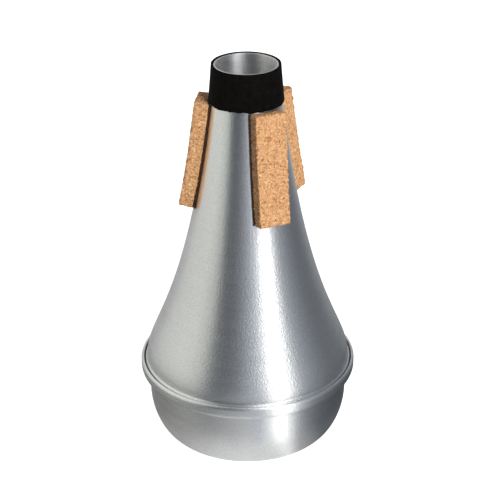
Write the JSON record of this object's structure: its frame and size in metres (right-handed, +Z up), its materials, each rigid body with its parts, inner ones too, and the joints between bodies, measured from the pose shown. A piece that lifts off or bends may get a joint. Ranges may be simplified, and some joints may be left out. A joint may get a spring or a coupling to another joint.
{
  "type": "trumpet mute",
  "caption": "Straight trumpet mute: a flared spun aluminium body with a rounded base cup, a rolled seam bead, a black band round the mouth and cork strips on the neck.",
  "frame": {"origin": "centre of the flat base that the mute stands on", "axes": "+Z up the mute's axis, from the base cup to the open mouth; the front cork strip faces -Y and a little to +X"},
  "size_m": [0.1, 0.1, 0.1798],
  "materials": {
    "spun_aluminium": "spun on a lathe and brushed, with fine lines that run round the axis",
    "black_rubber": "matte black",
    "cork": "raw agglomerated cork, sanded",
    "brown_glue": "dried contact cement"
  },
  "bodies": {
    "root": {"cone_body": "spun_aluminium", "base_cup": "spun_aluminium", "neck_band": "black_rubber", "cork_front": "cork", "cork_left": "cork", "cork_rear": "cork", "glue_front": "brown_glue", "glue_left": "brown_glue", "glue_rear": "brown_glue"}
  },
  "joints": []
}
